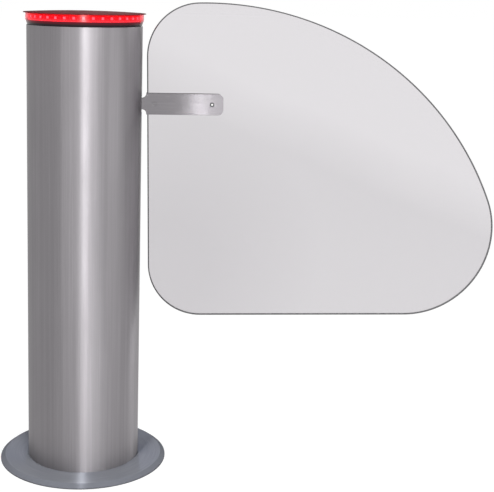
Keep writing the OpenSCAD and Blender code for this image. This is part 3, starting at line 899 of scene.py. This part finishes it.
# ---- Studio: floor, background, lamps and camera -------------------------------------------
# A pale floor that keeps the shadow and a white background. Tall narrow lamps, in front and behind,
# draw the bright lines on the steel, and broad soft ones fill in round them. The lamps that only
# shade the tube or draw a line on the straps, the flange or the lens are kept to those pieces.


def seen_outright(made):
    """1 for what the camera sees, also in gloss and through clear pieces, and 0 for light that
    falls on a piece."""
    path = add(made, "LightPath", {}).outputs
    seen = reckoned(made, "MAXIMUM", path["Is Camera Ray"], path["Is Glossy Ray"])
    return reckoned(made, "MAXIMUM", seen, path["Is Transmission Ray"])


def pale_floor():
    """A matt floor that takes shadows, and adds a pale glow where it is seen."""
    finish = bpy.data.materials.new("studio_floor")
    finish.use_nodes = True
    tree = finish.node_tree
    tree.nodes.remove(tree.nodes["Principled BSDF"])
    matt_tone, glow_tone = (0.2, 0.2, 0.2, 1), (0.935, 0.935, 0.935, 1)
    matt = add(finish, "BsdfDiffuse", {"Color": matt_tone})
    glow = add(finish, "Emission", {"Color": glow_tone, "Strength": seen_outright(finish)})
    both = add(finish, "AddShader", {0: matt.outputs[0], 1: glow.outputs[0]})
    tree.links.new(both.outputs[0], tree.nodes["Material Output"].inputs["Surface"])
    return finish


def white_studio():
    """A world that is white where it is seen, and lights the pieces softly."""
    world = bpy.data.worlds.new("studio")
    world.use_nodes = True
    world.node_tree.nodes.clear()
    soft_tone, white_tone = (0.35, 0.35, 0.35, 1), (1, 1, 1, 1)
    soft_light = add(world, "Background", {"Color": soft_tone})
    white = add(world, "Background", {"Color": white_tone})
    choice = add(world, "MixShader", {0: seen_outright(world), 1: soft_light.outputs[0],
                                      2: white.outputs[0]})
    add(world, "OutputWorld", {"Surface": choice.outputs[0]})
    return world


def lamp(name, place, aim, width, height, brightness):
    """A flat lamp that faces aim. Its power is brightness times pi times its area. It doesn't
    show through the clear sheet."""
    light = bpy.data.lights.new(name, "AREA")
    light.shape = "RECTANGLE"
    light.size, light.size_y = width, height
    light.energy = brightness * math.pi * width * height
    made = bpy.data.objects.new(name, light)
    made.visible_camera = made.visible_transmission = False
    made.location = place
    made.rotation_euler = (Vector(aim) - Vector(place)).to_track_quat("-Z", "Y").to_euler()
    bpy.context.scene.collection.objects.link(made)
    return made


def lights_only(light, lit):
    """Keeps a lamp's light to those pieces."""
    light.light_linking.receiver_collection = bpy.data.collections.new(light.name + "_lights")
    for made in lit:
        light.light_linking.receiver_collection.objects.link(made)


def spares(light, unlit):
    """Keeps a lamp's light off those pieces."""
    lights_only(light, unlit)
    for link in light.light_linking.receiver_collection.collection_objects:
        link.light_linking.link_state = "EXCLUDE"


floor_reach, floor_z = 40, -0.0002
floor_mesh = bpy.data.meshes.new("studio_floor")
floor_corners = [(x * floor_reach, y * floor_reach, floor_z)
                 for x, y in ((-1, -1), (1, -1), (1, 1), (-1, 1))]
floor_mesh.from_pydata(floor_corners, [], [(0, 1, 2, 3)])
floor_mesh.materials.append(pale_floor())
floor = bpy.data.objects.new("studio_floor", floor_mesh)
bpy.context.scene.collection.objects.link(floor)
bpy.context.scene.world = white_studio()

# Each lamp has its place, what it faces, its width, its height and its brightness.
column_middle, arm_middle = (0, 0, 0.55), (0.2, 0, 0.8)
strip_near = lamp("strip_near", (0.07, -2.35, 0.72), column_middle, 0.10, 1.35, 38)
strip_arm = lamp("strip_arm", (0.442, -2.35, 0.62), arm_middle, 0.03, 0.8, 9.5)
soft_arm = lamp("soft_arm", (0.59, -2.35, 0.62), arm_middle, 0.22, 0.8, 1.15)
soft_middle = lamp("soft_middle", (1.10, -2.2, 1.73), arm_middle, 1.2, 1.2, 5)
soft_beside = lamp("soft_beside", (0.64, -2.3, 1.95), column_middle, 0.75, 1.2, 5)
soft_across = lamp("soft_across", (0.50, -2.25, 1.6), column_middle, 2.3, 1.6, 1.7)
soft_right = lamp("soft_right", (1.95, -1.05, 1.05), column_middle, 1.5, 1.9, 0.95)
soft_edge = lamp("soft_edge", (1.75, 1.0, 1.3), column_middle, 0.9, 1.9, 4.5)
lamp("soft_left", (-1.15, -2.05, 1.05), column_middle, 1.2, 1.9, 0.98)
strip_back = lamp("strip_back", (0.05, 2.6, 0.85), column_middle, 0.08, 1.6, 45)
strip_trim = lamp("strip_trim", (-0.06, -2.35, 0.75), column_middle, 0.12, 1.3, 280)
strip_flange = lamp("strip_flange", (-0.04, -0.36, 1.7), (0, -0.16, 0), 0.014, 0.4, 1850)
soft_foot = lamp("soft_foot", (0.30, -0.80, 0.05), (0, 0, 0.06), 0.6, 0.08, 7.5)

for light in (soft_edge, soft_foot, soft_beside, soft_across):
    lights_only(light, [column_tube])
for light in (strip_arm, soft_arm):
    lights_only(light, straps)
lights_only(strip_trim, [lens_ring, lamp_seat])
lights_only(strip_flange, [floor_flange])
for light in (strip_near, strip_back):
    spares(light, [floor, clear_panel, inner_screws, *straps])
spares(soft_middle, [column_tube])
spares(soft_right, [floor_flange])

camera_data = bpy.data.cameras.new("camera")
camera_data.sensor_width = 36
camera_data.lens = 80.914
camera_data.shift_x = 0.0951
camera_data.shift_y = -0.1134
camera = bpy.data.objects.new("camera", camera_data)
camera_place = (0.0554, -2.4306, 1.0715)
yaw, pitch, roll = (math.radians(turn) for turn in (4.744, 10.432, 1.296))
camera.matrix_world = (Matrix.Translation(camera_place) @ Matrix.Rotation(-yaw, 4, "Z")
                       @ Matrix.Rotation(math.pi / 2 - pitch, 4, "X")
                       @ Matrix.Rotation(roll, 4, "Z"))
bpy.context.scene.collection.objects.link(camera)
bpy.context.scene.camera = camera
bpy.context.scene.view_settings.view_transform = "Standard"

bpy.context.view_layer.update()
